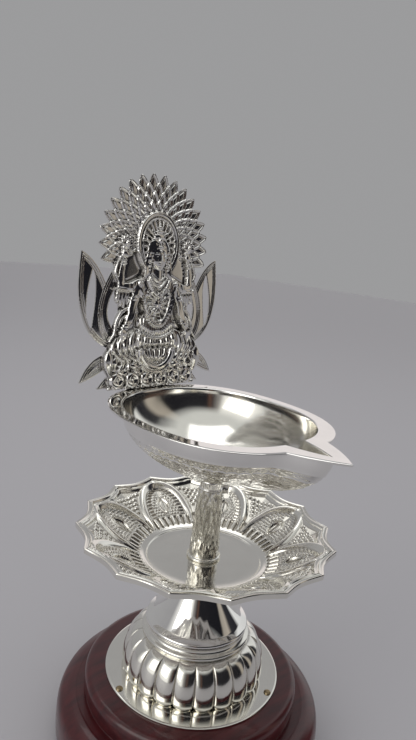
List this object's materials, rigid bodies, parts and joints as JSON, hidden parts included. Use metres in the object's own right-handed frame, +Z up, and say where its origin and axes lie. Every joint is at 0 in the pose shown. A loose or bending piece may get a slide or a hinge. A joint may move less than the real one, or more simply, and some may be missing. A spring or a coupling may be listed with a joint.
{
  "type": "oil lamp",
  "caption": "Standing oil lamp: turned wood base, fluted foot, lotus saucer, leaf-shaped bowl with spout and a pierced plate with a seated relief figure.",
  "frame": {"origin": "centre of the felt's underside, on the surface the lamp stands on", "axes": "+Z up, -Y the way the spout and the figure face, +X to the lamp's left"},
  "size_m": [0.114, 0.1207, 0.2356],
  "materials": {
    "silver": "polished silver plate over brass sheet",
    "lacquered_wood": "dark red gloss lacquer",
    "steel": "plain zinc-plated steel",
    "brass": "dull brass",
    "felt": "pressed felt"
  },
  "bodies": {
    "stand": {"base_felt": "felt", "wood_base": "lacquered_wood", "base_nut": "steel", "base_washer": "steel", "tie_rod": "steel", "foot_dome": "silver", "foot_cone": "silver", "foot_nail_1": "brass", "foot_nail_2": "brass", "foot_nail_3": "brass", "saucer": "silver", "coupling_nut": "steel", "sleeve": "silver", "collar": "silver"},
    "stop_ring": {"lock_ring": "silver"},
    "lamp_head": {"bowl_stud": "steel", "bowl": "silver", "plate_bracket": "silver", "lotus_plate": "silver", "deity_relief": "silver", "plate_screw_1": "steel", "plate_screw_2": "steel"}
  },
  "joints": [
    {"name": "thread_lift", "type": "slide", "parent": "stand", "child": "stop_ring", "axis": [0, 0, 1], "range_m": [0, 0.0035]},
    {"name": "head_turn", "type": "hinge", "parent": "stop_ring", "child": "lamp_head", "pos_m": [0, 0, 0.115], "axis": [0, 0, 1], "range_deg": [0, 1620]}
  ],
  "couplings": [
    {"joint": "thread_lift", "follows": "head_turn", "m_per_rad": 0.00011141}
  ]
}
